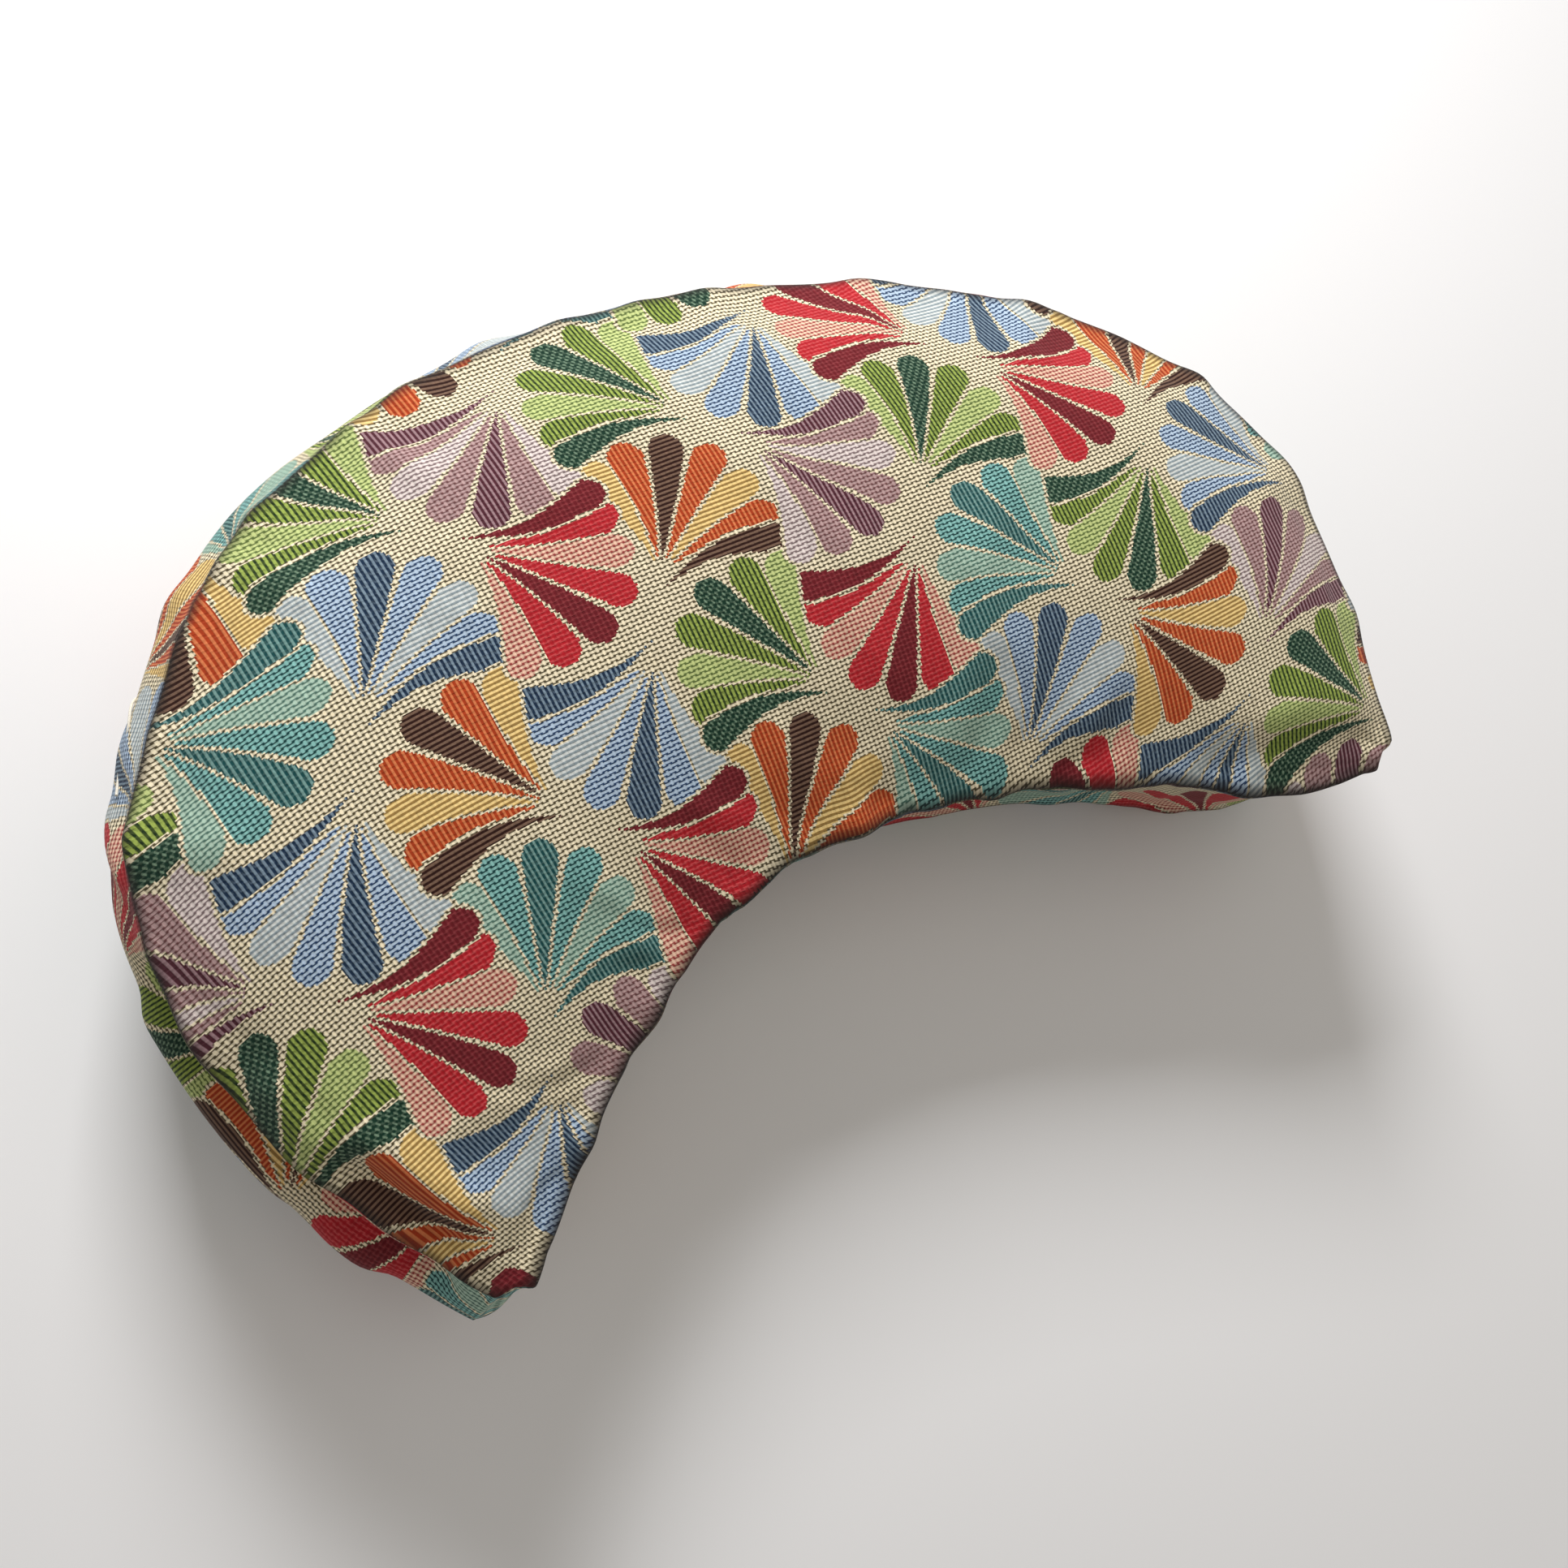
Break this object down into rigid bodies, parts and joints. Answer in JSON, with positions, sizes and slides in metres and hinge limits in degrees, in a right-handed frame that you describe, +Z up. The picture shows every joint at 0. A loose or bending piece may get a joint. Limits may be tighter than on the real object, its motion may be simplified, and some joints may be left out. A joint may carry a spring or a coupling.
{
  "type": "crescent meditation cushion",
  "caption": "Crescent floor cushion for seated meditation: firm filling, crowned panels, a deep side band and a bay between the heels.",
  "frame": {"origin": "on the floor, under the middle of the cushion's bounding box", "axes": "+X from the left heel to the right heel, +Y towards the convex back, +Z up"},
  "size_m": [0.4552, 0.2974, 0.126],
  "materials": {
    "tapestry_cloth": "heavy jacquard weave with many-coloured fans on a cream ground, matt with a faint sheen"
  },
  "bodies": {
    "root": {"cushion": "tapestry_cloth"}
  },
  "joints": []
}
